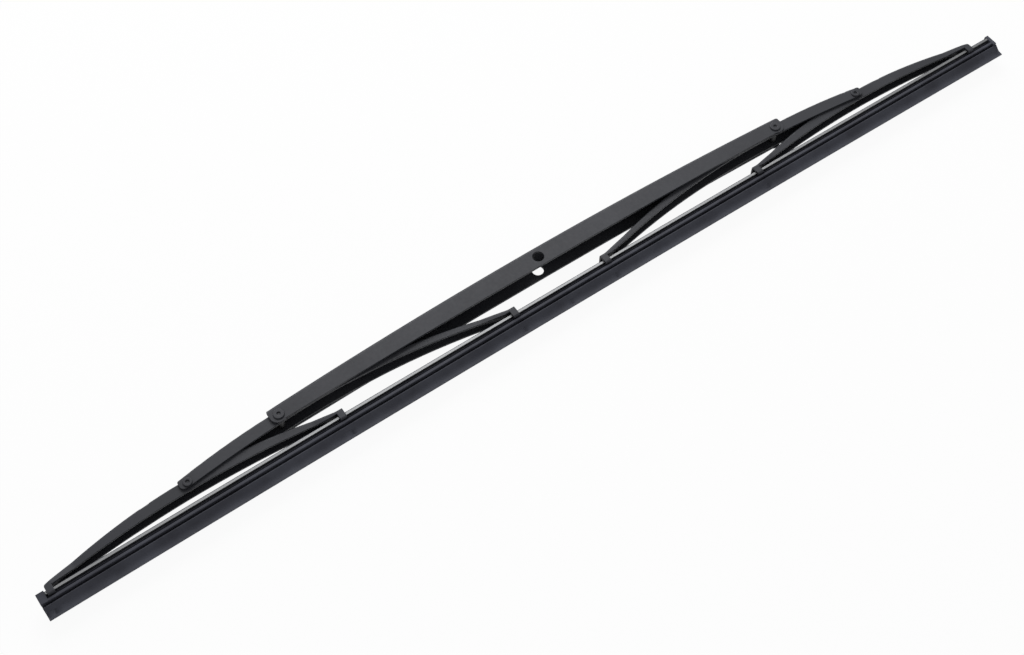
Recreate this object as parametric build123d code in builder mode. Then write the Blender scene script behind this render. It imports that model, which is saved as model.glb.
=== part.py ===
"""Framed windscreen wiper blade lying on its side: +X along the blade, +Y from the wiping edge to the back
of the frame, +Z up along the arm bore, origin at the middle of that bore. All sizes in millimetres."""
import math
import os

from build123d import *

os.makedirs("parts", exist_ok=True)

# Refill: one rubber extrusion and two flat spring rails, gently bowed towards the screen at the ends.
# Heights are measured from the wiping edge.
refill_length = 610.0
refill_left_reach = 300.0
refill_bow_radius = 28000.0
bore_above_edge = 32.4
lip_half = 0.4
lip_height = 2.6
lip_round = 4.0
wedge_half = 3.0
wedge_top = 5.7
wedge_back = 6.2
hinge_half = 0.75
shoulder_half = 4.0
shoulder_low = 7.4
shoulder_high = 8.9
neck_half = 1.3
head_low = 10.1
head_half = 2.2
head_top = 13.6
rail_low = 10.9
rail_sheet = 1.4
rail_half_width = 4.1
left_stop = 4.0
right_stop = 2.0

# Clearances and fits.
claw_gap = 0.3
claw_headroom = 0.7
nest_gap = 0.3
rail_slot_gap = 0.05
rail_end_gap = 0.2
running_gap = 0.05
seat_gap = 0.02
bush_end_gap = 0.05
bush_to_web = 0.12
arm_over_rail = 1.3

# Bridge.
arm_bore_radius = 3.2
bridge_width = 14.2
bridge_sheet = 1.2
bridge_crown = 6.2
bridge_bow_radius = 2800.0
bridge_depth_mid = 11.7
bridge_depth_end = 9.2
bridge_ear = 4.9
bridge_ear_round = 4.4
bridge_web_short = 6.0
bridge_bend_round = 1.5
ear_corner_round = 2.0

# Pivots. The first joins bridge and secondary yoke, the second joins secondary and tertiary yoke.
first_pivot_x = 160.3
first_pivot_drop = 5.5
second_pivot_x = 214.9
second_pivot_drop = 6.5

# Yokes.
secondary_sheet = 1.1
secondary_ear = 4.4
secondary_ear_round = 2.4
secondary_back_at_end = 3.4
secondary_low_at_pivot = 3.8
secondary_waist_x = 97.0
secondary_waist_low = 4.6
secondary_web_short = 7.0
secondary_neck_half = 3.75
secondary_neck_reach = 17.0
secondary_wide_from = 128.0
tertiary_sheet = 1.0
tertiary_low_at_pivot = 3.7
tertiary_neck_half = 3.6
tertiary_neck_reach = 14.0
tertiary_wide_reach = 26.0
yoke_bend_round = 1.2
arm_bend_round = 6.0
plan_bend_round = 8.0

# Claws, folded round the rails at the ends of the yokes.
secondary_claw_x = 29.7
inner_claw_x = 134.4
end_overhang = 6.8
claw_length = 3.6
claw_relief = 3.0
claw_nose_round = 2.5
claw_mouth_half = 2.8
claw_fold_round = 0.8

# Rivets and bushes.
first_shank = 1.45
first_head = 2.9
second_shank = 1.3
second_head = 2.4
rivet_head_height = 0.5
clinch_height = 0.8
rivet_head_round = 0.3
dimple_radius = 0.95
dimple_depth = 0.7
bush_wall = 0.4

# Derived sizes.
rail_high = rail_low + rail_sheet
bridge_back_at_pivot = bridge_crown - first_pivot_x**2 / (2 * bridge_bow_radius)
first_pivot_y = bridge_back_at_pivot - first_pivot_drop
second_pivot_y = first_pivot_y - second_pivot_drop
bridge_inside_half = bridge_width / 2 - bridge_sheet
secondary_half = bridge_inside_half - nest_gap
secondary_inside_half = secondary_half - secondary_sheet
tertiary_half = secondary_inside_half - nest_gap
first_bush = first_shank + running_gap + bush_wall
second_bush = second_shank + running_gap + bush_wall
claw_inside_half = rail_half_width + claw_gap
outer_claw_x = refill_left_reach - end_overhang
cut_margin = 5.0
cut_depth = 3 * bore_above_edge


def bowed_plane(x, edge_y, radius):
    """Section plane of a bowed piece at a station: its x points outward in +Y, its y along +Z."""
    turn = math.asin(x / radius)
    out = Vector(math.sin(turn), math.cos(turn), 0)
    along = Vector(math.cos(turn), -math.sin(turn), 0)
    return Plane(Vector(0, edge_y - radius, 0) + out * radius, x_dir=out, z_dir=along)


def bowed_arc(start, stop, radius):
    """Angle in degrees that a bow turns through between two stations."""
    return math.degrees(math.asin(stop / radius) - math.asin(start / radius))


def refill_y(x, height):
    """Y of the point of the refill that lies `height` above the wiping edge at a station."""
    return math.sqrt((refill_bow_radius + height) ** 2 - x**2) - refill_bow_radius - bore_above_edge


def claw_web(x, sheet):
    """Y of the outer face of a claw's web."""
    return refill_y(x, head_top) + claw_headroom + sheet


def claw_foot(x, sheet):
    """Y of the lower face of a claw's turned-in tips."""
    return refill_y(x, rail_low) - claw_gap - sheet


def arm_low(x):
    """Y of an arm's lower edge beside its claw, just clear of the rails."""
    return refill_y(x, rail_high) + arm_over_rail


def plan_points(stations, inset, overrun):
    """Outline in X and Z of a channel whose half width is given at stations along X."""
    upper = [(x, half - inset) for x, half in stations]
    upper[0] = (upper[0][0] - overrun, upper[0][1])
    upper[-1] = (upper[-1][0] + overrun, upper[-1][1])
    return upper + [(x, -z) for x, z in reversed(upper)]


def knees(sketch, stations):
    """Corners of a plan outline between its two ends."""
    return [v for v in sketch.vertices() if stations[0][0] < v.X < stations[-1][0]]


def nearest(sketch, point):
    """Corner of a sketch that lies nearest a point."""
    return sketch.vertices().sort_by_distance(point)[0]


def along_top(part):
    """Long outer edges of a channel's web, where the sheet is bent down into the flanks."""
    webs = [f for f in part.faces() if f.normal_at().Y > 0.85]
    return [e for f in webs for e in f.edges() if abs((e % 0.5).X) > 0.8]


def claw_folds(part, foot, half):
    """Outer lower edges of a claw, where the sheet is turned in under the rails."""
    edges = [e for e in part.edges() if abs((e % 0.5).X) > 0.99]
    return [e for e in edges if abs(e.center().Y - foot) < 0.01 and abs(abs(e.center().Z) - half) < 0.01]


def add_tips(x, foot, sheet):
    """Turn a claw's lower edges in under the rails."""
    width = claw_inside_half + sheet / 2 - claw_mouth_half
    middle = claw_mouth_half + width / 2
    with Locations((x, foot + sheet / 2, middle), (x, foot + sheet / 2, -middle)):
        Box(claw_length, sheet, width)


def save(part, name):
    """Name a finished piece and write it."""
    part.label = name
    export_step(part, f"parts/{name}.step")


def save_pair(part, name):
    """Write a right-hand piece and its mirror image at the left end of the blade."""
    save(part, f"{name}_right")
    with BuildPart() as twin:
        add(part)
        mirror(about=Plane.YZ, mode=Mode.REPLACE)
    save(twin.part, f"{name}_left")


# Squeegee: wiping lip, wedge, hinge groove, shoulder, neck and slotted head. A stop at each end closes
# the slots, so that the rails stay in; the right one closes the hinge groove too.
refill_right_reach = refill_length - refill_left_reach
refill_axis = Axis((0, -bore_above_edge - refill_bow_radius, 0), (0, 0, -1))
with BuildPart() as squeegee:
    with BuildSketch(bowed_plane(-refill_left_reach, -bore_above_edge, refill_bow_radius)) as extrusion:
        with BuildLine():
            Polyline(
                (0, 0),
                (0, lip_half),
                (lip_height, lip_half),
                (wedge_top, wedge_half),
                (wedge_back, wedge_half),
                (wedge_back, hinge_half),
                (shoulder_low, hinge_half),
                (shoulder_low, shoulder_half),
                (shoulder_high, shoulder_half),
                (shoulder_high, neck_half),
                (head_low, neck_half),
                (head_low, head_half),
                (rail_low - rail_slot_gap, head_half),
                (rail_low - rail_slot_gap, neck_half),
                (rail_high + rail_slot_gap, neck_half),
                (rail_high + rail_slot_gap, head_half),
                (head_top, head_half),
                (head_top, 0),
            )
            mirror(about=Plane.XZ)
        make_face()
        lip_corners = [nearest(extrusion, (lip_height, side * lip_half)) for side in (1, -1)]
        fillet(lip_corners, radius=lip_round)
    squeegee_turn = bowed_arc(-refill_left_reach, refill_right_reach, refill_bow_radius)
    revolve(axis=refill_axis, revolution_arc=squeegee_turn)
    stops = [
        (-refill_left_reach, left_stop, shoulder_low),
        (refill_right_reach - right_stop, right_stop, wedge_back),
    ]
    for start, length, low in stops:
        with BuildSketch(bowed_plane(start, -bore_above_edge, refill_bow_radius)):
            with Locations(((low + head_top) / 2, 0)):
                Rectangle(head_top - low, 2 * rail_half_width)
        revolve(axis=refill_axis, revolution_arc=bowed_arc(start, start + length, refill_bow_radius))
save(squeegee.part, "squeegee")

# Rails: one flat spring strip in each side slot of the squeegee's head.
rail_left = left_stop + rail_end_gap - refill_left_reach
rail_right = refill_right_reach - right_stop - rail_end_gap
rail_root = neck_half + rail_slot_gap
for rail_name, side in (("rail_upper", 1), ("rail_lower", -1)):
    with BuildPart() as rail:
        with BuildSketch(bowed_plane(rail_left, -bore_above_edge, refill_bow_radius)):
            with Locations((rail_low + rail_sheet / 2, side * (rail_root + rail_half_width) / 2)):
                Rectangle(rail_sheet, rail_half_width - rail_root)
        revolve(axis=refill_axis, revolution_arc=bowed_arc(rail_left, rail_right, refill_bow_radius))
    save(rail.part, rail_name)

# Bridge: a bowed inverted-U pressing, trimmed to its flank outline, with open ends for the secondary yokes.
bridge_low_end = bridge_back_at_pivot - bridge_depth_end
bridge_end = first_pivot_x + bridge_ear
bridge_corner_y = bridge_crown + seat_gap - bridge_end**2 / (2 * bridge_bow_radius)
bridge_reach = bridge_end + cut_margin
bridge_cut_x = first_pivot_x - bridge_web_short + bridge_ear + cut_margin
bridge_axis = Axis((0, bridge_crown - bridge_bow_radius, 0), (0, 0, -1))
first_pivots = [(first_pivot_x, first_pivot_y), (-first_pivot_x, first_pivot_y)]
with BuildPart() as primary_bridge:
    with BuildSketch(bowed_plane(-bridge_reach, bridge_crown, bridge_bow_radius)) as channel:
        with Locations((-bridge_depth_mid, 0)):
            Rectangle(2 * bridge_depth_mid, bridge_width)
        fillet(channel.vertices().group_by(Axis.X)[-1], radius=bridge_bend_round)
        with Locations((-bridge_depth_mid - bridge_sheet, 0)):
            Rectangle(2 * bridge_depth_mid, 2 * bridge_inside_half, mode=Mode.SUBTRACT)
    revolve(axis=bridge_axis, revolution_arc=bowed_arc(-bridge_reach, bridge_reach, bridge_bow_radius))
    with BuildSketch(Plane.XY) as flank:
        with BuildLine():
            ThreePointArc(
                (-first_pivot_x, bridge_low_end),
                (0, bridge_crown - bridge_depth_mid),
                (first_pivot_x, bridge_low_end),
            )
            Polyline(
                (first_pivot_x, bridge_low_end),
                (bridge_end, first_pivot_y),
                (bridge_end, bridge_corner_y),
            )
            ThreePointArc(
                (bridge_end, bridge_corner_y),
                (0, bridge_crown + seat_gap),
                (-bridge_end, bridge_corner_y),
            )
            Polyline(
                (-bridge_end, bridge_corner_y),
                (-bridge_end, first_pivot_y),
                (-first_pivot_x, bridge_low_end),
            )
        make_face()
        fillet(flank.vertices().group_by(Axis.Y)[-1], radius=ear_corner_round)
        ear_middle = bridge_end - bridge_ear_round
        with Locations((ear_middle, first_pivot_y), (-ear_middle, first_pivot_y)):
            Circle(bridge_ear_round)
    extrude(amount=bridge_width, both=True, mode=Mode.INTERSECT)
    with BuildSketch(Plane.XZ):
        with Locations((bridge_cut_x, 0), (-bridge_cut_x, 0)):
            Rectangle(2 * (bridge_ear + cut_margin), 2 * bridge_inside_half)
    extrude(amount=cut_depth, both=True, mode=Mode.SUBTRACT)
    with Locations((0, 0)):
        Hole(arm_bore_radius)
    with Locations(*first_pivots):
        Hole(first_shank + seat_gap)
save(primary_bridge.part, "primary_bridge")

# Secondary yoke: nested in the bridge's end, with a claw on its long arm and an ear on its short one.
secondary_web = claw_web(secondary_claw_x, secondary_sheet)
secondary_foot = claw_foot(secondary_claw_x, secondary_sheet)
secondary_claw_half = claw_inside_half + secondary_sheet
secondary_crown = first_pivot_y + first_bush + bush_to_web + secondary_sheet
secondary_start = secondary_claw_x - claw_length / 2
secondary_tab_end = secondary_claw_x + claw_length / 2
secondary_relief = secondary_tab_end + claw_relief
secondary_end = second_pivot_x + secondary_ear
secondary_bend = (secondary_tab_end, secondary_web)
secondary_plan = [
    (secondary_start, secondary_claw_half),
    (secondary_tab_end, secondary_claw_half),
    (secondary_claw_x + secondary_neck_reach, secondary_neck_half),
    (secondary_wide_from, secondary_half),
    (secondary_end, secondary_half),
]


def secondary_back(start, drop):
    """Draw the line of the secondary yoke's back, moved down by `drop`, from a start in X to the ear."""
    Line((start, secondary_web - drop), (secondary_tab_end, secondary_web - drop))
    ThreePointArc(
        (secondary_tab_end, secondary_web - drop),
        (first_pivot_x, secondary_crown - drop),
        (secondary_end, second_pivot_y + secondary_back_at_end - drop),
    )


with BuildPart() as secondary_space:
    with BuildSketch(Plane.XY) as side_view:
        with BuildLine():
            secondary_back(secondary_start - cut_margin, secondary_sheet)
            Polyline(
                (secondary_end, second_pivot_y + secondary_back_at_end - secondary_sheet),
                (secondary_end + cut_margin, second_pivot_y + secondary_back_at_end - secondary_sheet),
                (secondary_end + cut_margin, -cut_depth),
                (secondary_start - cut_margin, -cut_depth),
                (secondary_start - cut_margin, secondary_web - secondary_sheet),
            )
        make_face()
        fillet(nearest(side_view, secondary_bend), radius=arm_bend_round)
    extrude(amount=bridge_width, both=True)
    with BuildSketch(Plane.XZ) as plan_view:
        with BuildLine():
            Polyline(*plan_points(secondary_plan, secondary_sheet, cut_margin), close=True)
        make_face()
        fillet(knees(plan_view, secondary_plan), radius=plan_bend_round)
    extrude(amount=2 * cut_depth, both=True, mode=Mode.INTERSECT)

with BuildPart() as secondary_yoke:
    with BuildSketch(Plane.XY) as blank_view:
        with BuildLine():
            secondary_back(secondary_start, 0)
            Polyline(
                (secondary_end, second_pivot_y + secondary_back_at_end),
                (secondary_end, -cut_depth),
                (secondary_start, -cut_depth),
                (secondary_start, secondary_web),
            )
        make_face()
        fillet(nearest(blank_view, secondary_bend), radius=arm_bend_round)
    extrude(amount=bridge_width, both=True)
    with BuildSketch(Plane.XZ) as plan_view:
        with BuildLine():
            Polyline(*plan_points(secondary_plan, 0, 0), close=True)
        make_face()
        fillet(knees(plan_view, secondary_plan), radius=plan_bend_round)
    extrude(amount=2 * cut_depth, both=True, mode=Mode.INTERSECT)
    fillet(along_top(secondary_yoke.part), radius=yoke_bend_round)
    with BuildSketch(Plane.XY) as side_view:
        with BuildLine():
            secondary_back(secondary_start, -seat_gap)
            Polyline(
                (secondary_end, second_pivot_y + secondary_back_at_end + seat_gap),
                (secondary_end, second_pivot_y),
                (second_pivot_x, second_pivot_y - secondary_ear_round),
            )
            long_arm = ThreePointArc(
                (first_pivot_x, first_pivot_y - secondary_low_at_pivot),
                (secondary_waist_x, first_pivot_y - secondary_waist_low),
                (secondary_relief, arm_low(secondary_relief)),
            )
            TangentArc(
                (first_pivot_x, first_pivot_y - secondary_low_at_pivot),
                (second_pivot_x, second_pivot_y - secondary_ear_round),
                tangent=-(long_arm % 0),
            )
            Polyline(
                (secondary_relief, arm_low(secondary_relief)),
                (secondary_tab_end, arm_low(secondary_relief)),
                (secondary_tab_end, secondary_foot),
                (secondary_start, secondary_foot),
                (secondary_start, secondary_web + seat_gap),
            )
        make_face()
        fillet(nearest(side_view, secondary_bend), radius=arm_bend_round)
        ear_corner = (secondary_end, second_pivot_y + secondary_back_at_end)
        fillet(nearest(side_view, ear_corner), radius=ear_corner_round)
        with Locations((secondary_end - secondary_ear_round, second_pivot_y)):
            Circle(secondary_ear_round)
    extrude(amount=bridge_width, both=True, mode=Mode.INTERSECT)
    add(secondary_space.part, mode=Mode.SUBTRACT)
    with BuildSketch(Plane.XZ):
        with Locations((second_pivot_x - secondary_web_short + secondary_ear + cut_margin, 0)):
            Rectangle(2 * (secondary_ear + cut_margin), 2 * secondary_inside_half)
    extrude(amount=cut_depth, both=True, mode=Mode.SUBTRACT)
    add_tips(secondary_claw_x, secondary_foot, secondary_sheet)
    fillet(claw_folds(secondary_yoke.part, secondary_foot, secondary_claw_half), radius=claw_fold_round)
    with Locations((first_pivot_x, first_pivot_y)):
        Hole(first_bush + seat_gap)
    with Locations((second_pivot_x, second_pivot_y)):
        Hole(second_shank + seat_gap)
save_pair(secondary_yoke.part, "secondary_yoke")

# Tertiary yoke: nested in the secondary yoke's ear, with a claw at each end.
tertiary_claw_half = claw_inside_half + tertiary_sheet
tertiary_crown = second_pivot_y + second_bush + bush_to_web + tertiary_sheet
inner_web = claw_web(inner_claw_x, tertiary_sheet)
inner_foot = claw_foot(inner_claw_x, tertiary_sheet)
inner_start = inner_claw_x - claw_length / 2
inner_tab_end = inner_claw_x + claw_length / 2
inner_relief = inner_tab_end + claw_relief
outer_web = claw_web(outer_claw_x, tertiary_sheet)
outer_foot = claw_foot(outer_claw_x, tertiary_sheet)
outer_tab_end = outer_claw_x - claw_length / 2
outer_end = outer_claw_x + claw_length / 2
tertiary_bend = (inner_tab_end, inner_web)
tertiary_plan = [
    (inner_start, tertiary_claw_half),
    (inner_tab_end, tertiary_claw_half),
    (inner_claw_x + tertiary_neck_reach, tertiary_neck_half),
    (second_pivot_x - tertiary_wide_reach, tertiary_half),
    (second_pivot_x + tertiary_wide_reach, tertiary_half),
    (outer_claw_x - tertiary_neck_reach, tertiary_neck_half),
    (outer_tab_end, tertiary_claw_half),
    (outer_end, tertiary_claw_half),
]


def tertiary_back(start, drop):
    """Draw the line of the tertiary yoke's back, moved down by `drop`, from a start in X to the end."""
    Line((start, inner_web - drop), (inner_tab_end, inner_web - drop))
    ThreePointArc(
        (inner_tab_end, inner_web - drop),
        (second_pivot_x, tertiary_crown - drop),
        (outer_end, outer_web - drop),
    )


with BuildPart() as tertiary_space:
    with BuildSketch(Plane.XY) as side_view:
        with BuildLine():
            tertiary_back(inner_start - cut_margin, tertiary_sheet)
            Polyline(
                (outer_end, outer_web - tertiary_sheet),
                (outer_end + cut_margin, outer_web - tertiary_sheet),
                (outer_end + cut_margin, -cut_depth),
                (inner_start - cut_margin, -cut_depth),
                (inner_start - cut_margin, inner_web - tertiary_sheet),
            )
        make_face()
        fillet(nearest(side_view, tertiary_bend), radius=arm_bend_round)
    extrude(amount=bridge_width, both=True)
    with BuildSketch(Plane.XZ) as plan_view:
        with BuildLine():
            Polyline(*plan_points(tertiary_plan, tertiary_sheet, cut_margin), close=True)
        make_face()
        fillet(knees(plan_view, tertiary_plan), radius=plan_bend_round)
    extrude(amount=2 * cut_depth, both=True, mode=Mode.INTERSECT)

with BuildPart() as tertiary_yoke:
    with BuildSketch(Plane.XY) as blank_view:
        with BuildLine():
            tertiary_back(inner_start, 0)
            Polyline(
                (outer_end, outer_web),
                (outer_end, -cut_depth),
                (inner_start, -cut_depth),
                (inner_start, inner_web),
            )
        make_face()
        fillet(nearest(blank_view, tertiary_bend), radius=arm_bend_round)
    extrude(amount=bridge_width, both=True)
    with BuildSketch(Plane.XZ) as plan_view:
        with BuildLine():
            Polyline(*plan_points(tertiary_plan, 0, 0), close=True)
        make_face()
        fillet(knees(plan_view, tertiary_plan), radius=plan_bend_round)
    extrude(amount=2 * cut_depth, both=True, mode=Mode.INTERSECT)
    fillet(along_top(tertiary_yoke.part), radius=yoke_bend_round)
    with BuildSketch(Plane.XY) as side_view:
        with BuildLine():
            tertiary_back(inner_start, -seat_gap)
            Polyline(
                (outer_end, outer_web + seat_gap),
                (outer_end, outer_foot),
                (outer_tab_end, outer_foot),
                (outer_tab_end, arm_low(outer_tab_end)),
            )
            ThreePointArc(
                (outer_tab_end, arm_low(outer_tab_end)),
                (second_pivot_x, second_pivot_y - tertiary_low_at_pivot),
                (inner_relief, arm_low(inner_relief)),
            )
            Polyline(
                (inner_relief, arm_low(inner_relief)),
                (inner_tab_end, arm_low(inner_relief)),
                (inner_tab_end, inner_foot),
                (inner_start, inner_foot),
                (inner_start, inner_web + seat_gap),
            )
        make_face()
        fillet(nearest(side_view, tertiary_bend), radius=arm_bend_round)
        fillet(nearest(side_view, (outer_end, outer_web)), radius=claw_nose_round)
    extrude(amount=bridge_width, both=True, mode=Mode.INTERSECT)
    add(tertiary_space.part, mode=Mode.SUBTRACT)
    add_tips(inner_claw_x, inner_foot, tertiary_sheet)
    add_tips(outer_claw_x, outer_foot, tertiary_sheet)
    fillet(claw_folds(tertiary_yoke.part, inner_foot, tertiary_claw_half), radius=claw_fold_round)
    fillet(claw_folds(tertiary_yoke.part, outer_foot, tertiary_claw_half), radius=claw_fold_round)
    with Locations((second_pivot_x, second_pivot_y)):
        Hole(second_bush + seat_gap)
save_pair(tertiary_yoke.part, "tertiary_yoke")

# Rivets: a low head below, and a clinched ring with a dimple on the upper side.
# Bushes: a thin sleeve round each rivet, pressed into the inner yoke, just shorter than the outer channel.
first_pivot = (first_pivot_x, first_pivot_y)
second_pivot = (second_pivot_x, second_pivot_y)
pivots = [
    ("primary", first_pivot, first_shank, first_head, bridge_width / 2, bridge_sheet),
    ("secondary", second_pivot, second_shank, second_head, secondary_half, secondary_sheet),
]
for pivot_name, (x, y), shank, head, outside_half, sheet in pivots:
    inside_half = outside_half - sheet
    head_end = outside_half + rivet_head_height
    clinch_end = outside_half + clinch_height
    with BuildPart() as rivet:
        with BuildSketch(Plane((x, y, 0), x_dir=(1, 0, 0), z_dir=(0, -1, 0))) as half_section:
            with BuildLine():
                Polyline(
                    (0, -head_end),
                    (head, -head_end),
                    (head, -outside_half),
                    (shank, -outside_half),
                    (shank, outside_half),
                    (head, outside_half),
                    (head, clinch_end),
                    (dimple_radius, clinch_end),
                    (dimple_radius, clinch_end - dimple_depth),
                    (0, clinch_end - dimple_depth),
                    close=True,
                )
            make_face()
            rims = [(head, clinch_end), (head, -head_end), (dimple_radius, clinch_end)]
            fillet([nearest(half_section, rim) for rim in rims], radius=rivet_head_round)
        revolve(axis=Axis((x, y, 0), (0, 0, 1)))
    save_pair(rivet.part, f"{pivot_name}_rivet")
    with BuildPart() as bush:
        with Locations((x, y, 0)):
            Cylinder(shank + running_gap + bush_wall, 2 * (inside_half - bush_end_gap))
            Cylinder(shank + running_gap, 2 * inside_half, mode=Mode.SUBTRACT)
    save_pair(bush.part, f"{pivot_name}_bush")
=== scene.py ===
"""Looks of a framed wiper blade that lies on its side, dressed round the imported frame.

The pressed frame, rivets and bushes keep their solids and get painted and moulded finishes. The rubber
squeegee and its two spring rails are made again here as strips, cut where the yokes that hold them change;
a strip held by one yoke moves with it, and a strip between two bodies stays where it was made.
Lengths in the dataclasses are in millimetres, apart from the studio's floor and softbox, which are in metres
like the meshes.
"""

import logging
import math
from dataclasses import dataclass, field
from enum import Enum

import bpy
import numpy as np
from mathutils import Matrix, Vector

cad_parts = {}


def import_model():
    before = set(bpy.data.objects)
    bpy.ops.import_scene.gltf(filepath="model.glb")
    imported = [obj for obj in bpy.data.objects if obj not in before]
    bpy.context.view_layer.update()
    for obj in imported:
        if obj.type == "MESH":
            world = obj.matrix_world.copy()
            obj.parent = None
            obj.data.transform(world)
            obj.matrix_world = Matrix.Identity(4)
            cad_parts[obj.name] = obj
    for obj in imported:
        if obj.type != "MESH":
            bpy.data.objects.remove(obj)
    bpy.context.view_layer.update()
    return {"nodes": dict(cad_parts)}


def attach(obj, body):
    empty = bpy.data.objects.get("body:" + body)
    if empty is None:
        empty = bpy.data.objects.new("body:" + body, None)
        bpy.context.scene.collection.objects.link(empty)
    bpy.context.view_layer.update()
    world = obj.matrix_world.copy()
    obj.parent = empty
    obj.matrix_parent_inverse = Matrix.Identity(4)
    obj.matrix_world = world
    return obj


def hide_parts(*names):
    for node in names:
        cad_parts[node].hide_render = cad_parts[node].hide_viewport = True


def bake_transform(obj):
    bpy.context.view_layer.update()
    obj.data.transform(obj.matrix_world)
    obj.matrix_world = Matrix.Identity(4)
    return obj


MM = 0.001
WHITE = (1.0, 1.0, 1.0, 1.0)
NOISE_LOW, NOISE_HIGH = 0.3, 0.7  # range that a noise texture fills in practice
log = logging.getLogger("wiper_blade")


def srgb(code: str) -> tuple[float, float, float, float]:
    """Turn an sRGB hex value into linear red, green, blue and alpha.

    Args:
        code: Six hex digits after a number sign.

    Returns:
        The linear colour with alpha 1.
    """
    steps = np.array([int(code[i:i + 2], 16) for i in (1, 3, 5)]) / 255
    linear = np.where(steps <= 0.04045, steps / 12.92, ((steps + 0.055) / 1.055) ** 2.4)
    return (*linear.tolist(), 1.0)


def add_node(
    tree: bpy.types.NodeTree, kind: str, inputs: dict | None = None, **settings: object
) -> bpy.types.Node:
    """Add one node with its settings, and set or link its inputs.

    Args:
        tree: Node tree that gets the node.
        kind: Node type without the leading "ShaderNode".
        inputs: Socket name or number, with a value to set or an output socket to link.
        **settings: Properties of the node itself.

    Returns:
        The new node.
    """
    node = tree.nodes.new("ShaderNode" + kind)
    for name, value in settings.items():
        setattr(node, name, value)
    for socket, value in (inputs or {}).items():
        if isinstance(value, bpy.types.NodeSocket):
            tree.links.new(value, node.inputs[socket])
        else:
            node.inputs[socket].default_value = value
    return node


def spread_noise(
    tree: bpy.types.NodeTree, noise: bpy.types.Node, low: float, high: float
) -> bpy.types.NodeSocket:
    """Stretch a noise over a range of values.

    Args:
        tree: Node tree to work in.
        noise: Noise texture node.
        low: Value where the noise is low.
        high: Value where the noise is high.

    Returns:
        The socket with the stretched value.
    """
    return add_node(tree, "MapRange", {
        "Value": noise.outputs["Fac"], "From Min": NOISE_LOW, "From Max": NOISE_HIGH,
        "To Min": low, "To Max": high,
    }).outputs["Result"]


def new_material(name: str) -> tuple[bpy.types.Material, bpy.types.NodeTree, bpy.types.Node]:
    """Start an empty node material.

    Args:
        name: Name of the material.

    Returns:
        The material, its node tree and its output node.
    """
    material = bpy.data.materials.new(name)
    material.use_nodes = True
    tree = material.node_tree
    tree.nodes.clear()
    return material, tree, add_node(tree, "OutputMaterial")


class Side(Enum):
    """End of the blade, with the sign of its X."""

    LEFT = -1
    RIGHT = 1

    @property
    def word(self) -> str:
        """Ending that the names of this side's bodies and nodes carry."""
        return self.name.lower()


@dataclass(frozen=True)
class SatinPaint:
    """Black electro-coat on pressed steel sheet: an even satin skin, thinner and paler along cut edges."""

    name: str = "satin_black_electrocoat"
    colour: str = "#3a3b40"
    edge_colour: str = "#45464b"
    roughness: float = 0.48
    shine: float = 0.24
    peel_mm: float = 1.6
    peel_depth_mm: float = 0.006
    edge_mm: float = 0.35
    cloud_mm: float = 28.0
    tone_spread: float = 0.12
    gloss_spread: float = 0.05
    flat_cosine: float = 0.985
    edge_cosine: float = 0.86

    def material(self) -> bpy.types.Material:
        """Build the paint: orange peel from a noise of the peel's spacing, edge wear from rounded normals.

        Returns:
            The node material.
        """
        material, tree, output = new_material(self.name)
        place = add_node(tree, "TexCoord").outputs["Object"]
        peel = add_node(tree, "TexNoise", {
            "Vector": place, "Scale": 1 / (self.peel_mm * MM), "Detail": 3.0, "Roughness": 0.55,
        })
        cloud = add_node(tree, "TexNoise", {
            "Vector": place, "Scale": 1 / (self.cloud_mm * MM), "Detail": 4.0,
        })
        rounded = add_node(tree, "Bevel", {"Radius": self.edge_mm * MM}, samples=6)
        flat = add_node(tree, "NewGeometry").outputs["Normal"]
        same = add_node(tree, "VectorMath", {0: rounded.outputs["Normal"], 1: flat}, operation="DOT_PRODUCT")
        edge = add_node(tree, "MapRange", {
            "Value": same.outputs["Value"], "From Min": self.flat_cosine, "From Max": self.edge_cosine,
        })
        worn = add_node(tree, "Math", {
            0: edge.outputs["Result"], 1: cloud.outputs["Fac"],
        }, operation="MULTIPLY")
        tone = spread_noise(tree, cloud, 1 - self.tone_spread, 1 + self.tone_spread)
        paint = add_node(tree, "Mix", {
            "Factor": worn.outputs[0], 6: srgb(self.colour), 7: srgb(self.edge_colour),
        }, data_type="RGBA")
        varied = add_node(tree, "Mix", {
            "Factor": 1.0, 6: paint.outputs[2], 7: tone,
        }, data_type="RGBA", blend_type="MULTIPLY")
        gloss = spread_noise(
            tree, peel, self.roughness - self.gloss_spread, self.roughness + self.gloss_spread
        )
        bump = add_node(tree, "Bump", {
            "Height": peel.outputs["Fac"], "Normal": rounded.outputs["Normal"],
            "Distance": self.peel_depth_mm * MM, "Strength": 1.0,
        })
        shader = add_node(tree, "BsdfPrincipled", {
            "Base Color": varied.outputs[2], "Roughness": gloss,
            "Normal": bump.outputs["Normal"], "Specular IOR Level": self.shine,
        })
        tree.links.new(shader.outputs[0], output.inputs["Surface"])
        return material


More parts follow.
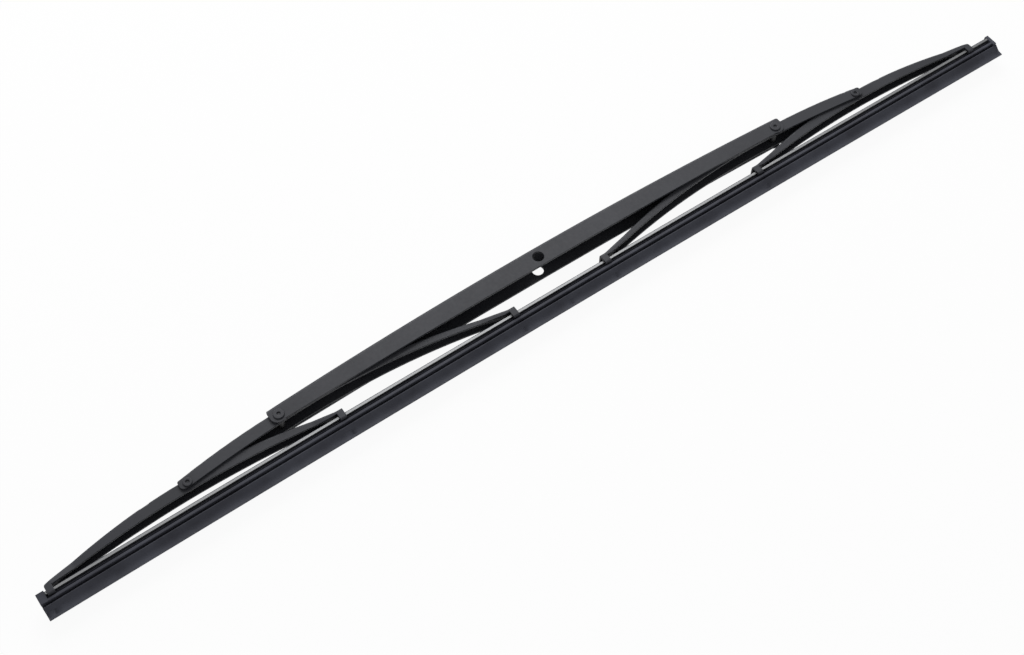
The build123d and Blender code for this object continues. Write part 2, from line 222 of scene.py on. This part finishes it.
@dataclass(frozen=True)
class MouldedNylon:
    """Black glass-filled nylon 6: a dull moulded skin with a fine mottle from the fibres."""

    name: str = "moulded_black_nylon"
    colour: str = "#141416"
    roughness: float = 0.55
    gloss_spread: float = 0.08
    mottle_mm: float = 0.7
    mottle_depth_mm: float = 0.01
    refraction: float = 1.53

    def material(self) -> bpy.types.Material:
        """Build the nylon: a noise of the mottle's spacing drives gloss and a shallow bump.

        Returns:
            The node material.
        """
        material, tree, output = new_material(self.name)
        place = add_node(tree, "TexCoord").outputs["Object"]
        mottle = add_node(tree, "TexNoise", {
            "Vector": place, "Scale": 1 / (self.mottle_mm * MM), "Detail": 2.0,
        })
        gloss = add_node(tree, "MapRange", {
            "Value": mottle.outputs["Fac"], "To Min": self.roughness - self.gloss_spread,
            "To Max": self.roughness + self.gloss_spread,
        })
        bump = add_node(tree, "Bump", {
            "Height": mottle.outputs["Fac"], "Distance": self.mottle_depth_mm * MM,
        })
        shader = add_node(tree, "BsdfPrincipled", {
            "Base Color": srgb(self.colour), "Roughness": gloss.outputs["Result"],
            "Normal": bump.outputs["Normal"], "IOR": self.refraction,
        })
        tree.links.new(shader.outputs[0], output.inputs["Surface"])
        return material


@dataclass(frozen=True)
class SpringStrip:
    """Cold-rolled stainless spring strip: bright grey metal with fine lines along the rolling direction."""

    name: str = "rolled_stainless_strip"
    colour: str = "#8a8b8c"
    roughness: float = 0.48
    gloss_spread: float = 0.07
    line_mm: float = 0.12
    line_depth_mm: float = 0.003
    run_mm: float = 40.0

    def material(self) -> bpy.types.Material:
        """Build the steel: a noise drawn out along the strip's own map gives the rolling lines.

        Returns:
            The node material.
        """
        material, tree, output = new_material(self.name)
        place = add_node(tree, "UVMap", uv_map="strip").outputs["UV"]
        drawn = add_node(tree, "Mapping", {
            "Vector": place, "Scale": (1 / (self.run_mm * MM), 1 / (self.line_mm * MM), 1.0),
        })
        lines = add_node(tree, "TexNoise", {"Vector": drawn.outputs[0], "Scale": 1.0, "Detail": 3.0})
        gloss = spread_noise(
            tree, lines, self.roughness - self.gloss_spread, self.roughness + self.gloss_spread
        )
        bump = add_node(tree, "Bump", {
            "Height": lines.outputs["Fac"], "Distance": self.line_depth_mm * MM,
        })
        shader = add_node(tree, "BsdfPrincipled", {
            "Base Color": srgb(self.colour), "Metallic": 1.0, "Roughness": gloss,
            "Normal": bump.outputs["Normal"],
        })
        tree.links.new(shader.outputs[0], output.inputs["Surface"])
        return material


@dataclass(frozen=True)
class WiperRubber:
    """Chlorinated natural rubber: a dull, faintly blue black with extrusion lines and patches of bloom."""

    name: str = "chlorinated_natural_rubber"
    colour: str = "#3e3f47"
    bloom_colour: str = "#4c4e57"
    roughness: float = 0.6
    shine: float = 0.2
    gloss_spread: float = 0.06
    line_mm: float = 0.25
    line_depth_mm: float = 0.006
    run_mm: float = 60.0
    bloom_mm: float = 18.0
    bloom_from: float = 0.35
    bloom_to: float = 0.7

    def material(self) -> bpy.types.Material:
        """Build the rubber: drawn-out noise for the extrusion lines, broad noise for the bloom.

        Returns:
            The node material.
        """
        material, tree, output = new_material(self.name)
        place = add_node(tree, "UVMap", uv_map="strip").outputs["UV"]
        drawn = add_node(tree, "Mapping", {
            "Vector": place, "Scale": (1 / (self.run_mm * MM), 1 / (self.line_mm * MM), 1.0),
        })
        lines = add_node(tree, "TexNoise", {"Vector": drawn.outputs[0], "Scale": 1.0, "Detail": 2.0})
        body = add_node(tree, "TexCoord").outputs["Object"]
        patches = add_node(tree, "TexNoise", {
            "Vector": body, "Scale": 1 / (self.bloom_mm * MM), "Detail": 5.0, "Roughness": 0.6,
        })
        bloom = add_node(tree, "MapRange", {
            "Value": patches.outputs["Fac"], "From Min": self.bloom_from, "From Max": self.bloom_to,
        })
        tone = add_node(tree, "Mix", {
            "Factor": bloom.outputs["Result"], 6: srgb(self.colour), 7: srgb(self.bloom_colour),
        }, data_type="RGBA")
        gloss = spread_noise(
            tree, lines, self.roughness - self.gloss_spread, self.roughness + self.gloss_spread
        )
        bump = add_node(tree, "Bump", {
            "Height": lines.outputs["Fac"], "Distance": self.line_depth_mm * MM,
        })
        shader = add_node(tree, "BsdfPrincipled", {
            "Base Color": tone.outputs[2], "Roughness": gloss,
            "Normal": bump.outputs["Normal"], "Specular IOR Level": self.shine,
        })
        tree.links.new(shader.outputs[0], output.inputs["Surface"])
        return material


@dataclass
class PressedFrame:
    """Bridge, yokes, rivets and bushes, which keep their solids and only get their finishes."""

    nodes: dict[str, bpy.types.Object]
    paint: SatinPaint = field(default_factory=SatinPaint)
    rivet_paint: SatinPaint = field(default_factory=lambda: SatinPaint(
        name="painted_rivet_steel", colour="#3a3b40", edge_colour="#54555b", roughness=0.4,
        peel_mm=0.9, edge_mm=0.2,
    ))
    nylon: MouldedNylon = field(default_factory=MouldedNylon)

    def dress(self) -> None:
        """Give every solid of the frame the finish of its kind."""
        finishes = {
            "rivet": self.rivet_paint.material(),
            "bush": self.nylon.material(),
            "bridge": self.paint.material(),
        }
        finishes["yoke"] = finishes["bridge"]
        for name, node in self.nodes.items():
            for kind, material in finishes.items():
                if kind in name:
                    node.data.materials.clear()
                    node.data.materials.append(material)
                    log.info("dressed %s in %s", name, material.name)


@dataclass(frozen=True)
class Stretch:
    """One stretch of the refill between two stations, and the bodies that hold it."""

    name: str
    start: float
    stop: float
    bodies: tuple[str, ...]
    turn_from: float = 0.0
    turn_to: float = 0.0


@dataclass
class Refill:
    """Rubber squeegee with its two spring rails, bowed a little and carried by the claws of the yokes."""

    left_reach: float = 300.0
    right_reach: float = 310.0
    bow_radius: float = 28000.0
    bore_above_edge: float = 32.4
    claw_stations: tuple[float, float] = (29.7, 134.4)
    claw_half_length: float = 1.8
    ring_step: float = 4.0
    left_stop: float = 4.0
    right_stop: float = 2.0
    rail_end_gap: float = 0.2
    rail_low: float = 10.9
    rail_sheet: float = 1.4
    rail_root: float = 1.35
    rail_half_width: float = 4.1
    rail_round: float = 0.12
    rail_root_round: float = 0.02
    stop_head_round: float = 0.4
    stop_low_round: float = 0.25
    stop_step_round: float = 0.3
    stop_wedge_round: float = 0.1
    arc_steps: int = 5
    rubber: WiperRubber = field(default_factory=WiperRubber)
    steel: SpringStrip = field(default_factory=SpringStrip)

    def squeegee_half(self) -> np.ndarray:
        """Give the corners of one half of the rubber's section.

        Returns:
            Rows of height above the wiping edge, half width and corner radius, from the edge to the head.
        """
        return np.array([
            (0.0, 0.4, 0.02), (2.6, 0.4, 4.0), (5.7, 3.0, 0.25), (6.2, 3.0, 0.2), (6.2, 0.75, 0.3),
            (7.4, 0.75, 0.3), (7.4, 4.0, 0.25), (8.9, 4.0, 0.3), (8.9, 1.3, 0.3), (10.1, 1.3, 0.3),
            (10.1, 2.2, 0.15), (10.85, 2.2, 0.1), (10.85, 1.3, 0.05), (12.35, 1.3, 0.05),
            (12.35, 2.2, 0.1), (13.6, 2.2, 0.2),
        ])

    def stop_half(self, side: Side) -> np.ndarray:
        """Give the corners of one half of an end stop's section, which has no slots for the rails.

        Args:
            side: End of the blade. At the right end the hinge groove is closed too.

        Returns:
            Rows like those of the squeegee's own section.
        """
        half, rim = self.squeegee_half(), self.rail_half_width
        wedge_row, shoulder_row = 3, 6
        wedge_back, wedge_half = half[wedge_row, :2]
        head = (half[-1, 0], rim, self.stop_head_round)
        if side is Side.LEFT:
            below, step = half[:shoulder_row], [(half[shoulder_row, 0], rim, self.stop_low_round)]
        else:
            below, step = half[:wedge_row], [
                (wedge_back, wedge_half, self.stop_wedge_round), (wedge_back, rim, self.stop_step_round),
            ]
        return np.concatenate([below, step, [head]])

    def rail_corners(self, side: int) -> np.ndarray:
        """Give the corners of one rail's section.

        Args:
            side: 1 for the upper rail, -1 for the lower one.

        Returns:
            Rows of height, place across and corner radius, in the turning sense of the rubber's section.
        """
        low, high = self.rail_low, self.rail_low + self.rail_sheet
        root, rim = self.rail_root, self.rail_half_width
        sharp, soft = self.rail_root_round, self.rail_round
        corners = np.array([(low, root, sharp), (low, rim, soft), (high, rim, soft), (high, root, sharp)])
        return corners if side > 0 else (corners * (1, -1, 1))[::-1]

    def outline(self, corners: np.ndarray) -> tuple[np.ndarray, np.ndarray]:
        """Round the corners of a closed section.

        Each corner becomes an arc of its radius that touches both sides: its centre lies on the corner's
        bisector, and the arc turns from the first touching point to the second in equal steps.

        Args:
            corners: Rows of height, place across and radius.

        Returns:
            The points of the outline, and for each point whether the side after it is part of an arc.
        """
        point, radius = corners[:, :2], corners[:, 2:]
        before = np.roll(point, 1, axis=0) - point
        after = np.roll(point, -1, axis=0) - point
        before /= np.linalg.norm(before, axis=1, keepdims=True)
        after /= np.linalg.norm(after, axis=1, keepdims=True)
        half = np.arccos(np.clip((before * after).sum(1, keepdims=True), -1, 1)) / 2
        bisector = (before + after) / np.linalg.norm(before + after, axis=1, keepdims=True)
        centre = point + bisector * radius / np.sin(half)
        first = point + before * radius / np.tan(half) - centre
        last = point + after * radius / np.tan(half) - centre
        start = np.arctan2(first[:, 1], first[:, 0])
        sweep = np.arctan2(last[:, 1], last[:, 0]) - start
        sweep = (sweep + math.pi) % (2 * math.pi) - math.pi
        angle = start[:, None] + sweep[:, None] * np.linspace(0, 1, self.arc_steps + 1)
        arcs = centre[:, None] + radius[:, None] * np.stack([np.cos(angle), np.sin(angle)], axis=2)
        on_arc = np.tile(np.arange(self.arc_steps + 1) < self.arc_steps, len(corners))
        return arcs.reshape(-1, 2), on_arc

    def strip(self, name: str, corners: np.ndarray, start: float, stop: float) -> bpy.types.Object:
        """Carry a section along the bow between two stations.

        A station turns the section by the angle whose sine is the station over the bow radius, about the
        bow's centre below the edge, so a height is measured along the radius there.

        Args:
            name: Name of the piece.
            corners: Corners of the section.
            start: First station along X.
            stop: Last station along X.

        Returns:
            The strip's object, with its map in metres along and around the strip.
        """
        section, on_arc = self.outline(corners)
        rings = max(2, math.ceil((stop - start) / self.ring_step) + 1)
        station = np.linspace(start, stop, rings)
        height, turn = np.meshgrid(section[:, 0], np.arcsin(station / self.bow_radius))
        reach = self.bow_radius + height
        grid = np.stack([
            reach * np.sin(turn),
            reach * np.cos(turn) - self.bow_radius - self.bore_above_edge,
            np.broadcast_to(section[:, 1], height.shape),
        ], axis=2) * MM
        return self.skin(name, grid, station * MM, section * MM, on_arc)

    def skin(
        self, name: str, grid: np.ndarray, along: np.ndarray, section: np.ndarray, on_arc: np.ndarray
    ) -> bpy.types.Object:
        """Put a grid of rings into a closed mesh, with one face at each end.

        Args:
            name: Name of the piece.
            grid: Points by ring and by place round the section.
            along: Distance along the strip of each ring.
            section: Outline of the section, for the distance round it.
            on_arc: Whether the side after each outline point is part of an arc.

        Returns:
            The object.
        """
        rings, count = grid.shape[:2]
        number = np.arange(rings * count).reshape(rings, count)
        ahead = np.roll(number, -1, axis=1)
        quads = np.stack([number[:-1], number[1:], ahead[1:], ahead[:-1]], axis=-1).reshape(-1, 4)
        faces = quads.tolist() + [number[0].tolist(), number[-1, ::-1].tolist()]
        mesh = bpy.data.meshes.new(name)
        mesh.from_pydata(grid.reshape(-1, 3).tolist(), [], faces)
        smooth = np.concatenate([np.tile(on_arc, rings - 1), [False, False]])
        mesh.polygons.foreach_set("use_smooth", smooth)
        steps = np.linalg.norm(np.roll(section, -1, axis=0) - section, axis=1)
        around = np.concatenate([[0.0], np.cumsum(steps)])
        here, low = np.meshgrid(along[:-1], around[:-1], indexing="ij")
        next_on, high = np.meshgrid(along[1:], around[1:], indexing="ij")
        walls = np.stack([
            np.stack([here, low], -1), np.stack([next_on, low], -1),
            np.stack([next_on, high], -1), np.stack([here, high], -1),
        ], axis=2)
        caps = np.concatenate([section, section[::-1]])
        layer = mesh.uv_layers.new(name="strip")
        layer.data.foreach_set("uv", np.concatenate([walls.reshape(-1, 2), caps]).ravel())
        mesh.validate()
        piece = bpy.data.objects.new(name, mesh)
        bpy.context.scene.collection.objects.link(piece)
        return piece

    def stretches(self) -> list[Stretch]:
        """Split the refill where its carriers change: outer claws, inner claws and middle.

        Returns:
            The stretches from the left end to the right end.
        """
        near, far = self.claw_stations
        grip = self.claw_half_length
        left, right = Side.LEFT.word, Side.RIGHT.word
        return [
            Stretch("left_outer", -self.left_reach + self.left_stop, -far, (f"tertiary_{left}",)),
            Stretch("left_inner", -far, -near, (f"tertiary_{left}", f"secondary_{left}"),
                    -far + grip, -near - grip),
            Stretch("left_middle", -near, 0.0, (f"secondary_{left}", "bridge"), -near + grip, 0.0),
            Stretch("right_middle", 0.0, near, ("bridge", f"secondary_{right}"), 0.0, near - grip),
            Stretch("right_inner", near, far, (f"secondary_{right}", f"tertiary_{right}"),
                    near + grip, far - grip),
            Stretch("right_outer", far, self.right_reach - self.right_stop, (f"tertiary_{right}",)),
        ]

    def carry(self, piece: bpy.types.Object, stretch: Stretch) -> None:
        """Let a strip follow the body of its stretch when one body holds it; a strip between two bodies only
        has its place baked and follows neither.

        Args:
            piece: The strip's object.
            stretch: The stretch that it covers.
        """
        if len(stretch.bodies) == 1:
            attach(piece, stretch.bodies[0])
            return
        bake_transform(piece)

    def stops(self) -> list[tuple[Stretch, np.ndarray]]:
        """Give the two ends of the rubber, where a stop keeps the rails in.

        Returns:
            Each end's stretch and half section.
        """
        left, right = Side.LEFT, Side.RIGHT
        return [
            (Stretch("left_stop", -self.left_reach, -self.left_reach + self.left_stop,
                     (f"tertiary_{left.word}",)), self.stop_half(left)),
            (Stretch("right_stop", self.right_reach - self.right_stop, self.right_reach,
                     (f"tertiary_{right.word}",)), self.stop_half(right)),
        ]

    def build(self) -> None:
        """Make the rubber and both rails, stretch by stretch, in place of their plain solids."""
        rubber, steel = self.rubber.material(), self.steel.material()
        lengths = [(stretch, self.squeegee_half()) for stretch in self.stretches()]
        for stretch, half in lengths + self.stops():
            corners = np.concatenate([half, (half * (1, -1, 1))[::-1]])
            piece = self.strip(f"squeegee_{stretch.name}", corners, stretch.start, stretch.stop)
            self.finish_piece(piece, rubber, "squeegee", stretch)
        ends = (self.left_stop + self.rail_end_gap - self.left_reach,
                self.right_reach - self.right_stop - self.rail_end_gap)
        for stretch in self.stretches():
            for word, side in (("upper", 1), ("lower", -1)):
                start, stop = np.clip((stretch.start, stretch.stop), *ends).tolist()
                rail = self.strip(f"rail_{word}_{stretch.name}", self.rail_corners(side), start, stop)
                self.finish_piece(rail, steel, f"rail_{word}", stretch)

    def finish_piece(
        self, piece: bpy.types.Object, material: bpy.types.Material, node: str, stretch: Stretch
    ) -> None:
        """Dress a strip, tie it to its body where a single body holds it, and let it stand for its plain
        solid.

        Args:
            piece: The strip's object.
            material: Its finish.
            node: Plain solid that it stands for.
            stretch: The stretch that it covers.
        """
        piece.data.materials.append(material)
        self.carry(piece, stretch)
        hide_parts(node)
        log.info("made %s on %s", piece.name, " to ".join(stretch.bodies))


@dataclass
class Studio:
    """Pale floor, soft overhead light and the camera of the photograph.

    The floor's half width and the softbox's size and place are in metres, the other lengths in millimetres.
    """

    floor_colour: str = "#f4f4f4"
    floor_half: float = 20.0
    floor_level: float = -7.6
    plain_share: float = 0.94
    sky_strength: float = 0.4
    softbox_power: float = 15.0
    softbox_size: float = 1.0
    softbox_place: tuple[float, float, float] = (0.35, 0.95, 0.83)
    camera_place: tuple[float, float, float] = (-263.4, -353.7, 641.6)
    azimuth: float = -34.87
    elevation: float = 58.0
    lens: float = 51.27
    sensor_width: float = 36.0
    near_clip: float = 10.0

    def floor(self) -> None:
        """Lay a flat square, which the camera sees mostly plain with a trace of the shadow on it."""
        across = np.array([-1.0, 1.0]) * self.floor_half
        x, y = np.meshgrid(across, across)
        points = np.stack([x.ravel(), y.ravel(), np.full(4, self.floor_level * MM)], axis=1)
        mesh = bpy.data.meshes.new("floor")
        mesh.from_pydata(points.tolist(), [], [(0, 1, 3, 2)])
        material, tree, output = new_material("matt_white_card")
        card = add_node(tree, "BsdfDiffuse", {"Color": srgb(self.floor_colour)})
        white = add_node(tree, "Emission", {"Color": WHITE, "Strength": 1.0})
        share = add_node(tree, "Math", {0: self.seen(tree), 1: self.plain_share}, operation="MULTIPLY")
        both = add_node(tree, "MixShader", {0: share.outputs[0], 1: card.outputs[0], 2: white.outputs[0]})
        tree.links.new(both.outputs[0], output.inputs["Surface"])
        mesh.materials.append(material)
        floor = bpy.data.objects.new("floor", mesh)
        bpy.context.scene.collection.objects.link(floor)

    def seen(self, tree: bpy.types.NodeTree) -> bpy.types.NodeSocket:
        """Tell the rays that see the background: from the camera, by reflection or through a body.

        Args:
            tree: Node tree to work in.

        Returns:
            A socket that is 1 on such rays and 0 on rays that carry light.
        """
        path = add_node(tree, "LightPath")
        first = add_node(tree, "Math", {
            0: path.outputs["Is Camera Ray"], 1: path.outputs["Is Glossy Ray"],
        }, operation="MAXIMUM")
        both = add_node(tree, "Math", {
            0: first.outputs[0], 1: path.outputs["Is Transmission Ray"],
        }, operation="MAXIMUM")
        return both.outputs[0]

    def light(self) -> None:
        """Hang one wide softbox behind the blade's back and fill from an even white sky."""
        lamp = bpy.data.lights.new("softbox", "AREA")
        lamp.shape = "SQUARE"
        lamp.size = self.softbox_size
        lamp.energy = self.softbox_power
        box = bpy.data.objects.new("softbox", lamp)
        place = Vector(self.softbox_place)
        box.location = place
        box.rotation_euler = (-place).to_track_quat("-Z", "Y").to_euler()
        bpy.context.scene.collection.objects.link(box)
        world = bpy.data.worlds.new("white_studio")
        world.use_nodes = True
        tree = world.node_tree
        tree.nodes.clear()
        sky = add_node(tree, "Background", {"Color": WHITE, "Strength": self.sky_strength})
        output = add_node(tree, "OutputWorld")
        tree.links.new(sky.outputs[0], output.inputs["Surface"])
        bpy.context.scene.world = world

    def camera(self) -> None:
        """Set the camera at the photograph's place, with level sides."""
        turn, rise = math.radians(self.azimuth), math.radians(self.elevation)
        back = Vector((
            math.sin(turn) * math.cos(rise), -math.cos(turn) * math.cos(rise), math.sin(rise),
        ))
        right = Vector((math.cos(turn), math.sin(turn), 0.0))
        lens = bpy.data.cameras.new("camera")
        lens.sensor_width = self.sensor_width
        lens.lens = self.lens
        lens.clip_start = self.near_clip * MM
        eye = bpy.data.objects.new("camera", lens)
        axes = Matrix((right, back.cross(right), back)).transposed().to_4x4()
        eye.matrix_world = Matrix.Translation(Vector(self.camera_place) * MM) @ axes
        bpy.context.scene.collection.objects.link(eye)
        bpy.context.scene.camera = eye

    def build(self) -> None:
        """Set the whole studio and the plain view transform."""
        self.floor()
        self.light()
        self.camera()
        bpy.context.scene.view_settings.view_transform = "Standard"


def main() -> None:
    """Load the frame, dress it, make the refill and set the studio."""
    logging.basicConfig(level=logging.INFO, format="%(name)s: %(message)s")
    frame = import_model()
    PressedFrame(frame["nodes"]).dress()
    Refill().build()
    Studio().build()


if __name__ == "__main__":
    main()
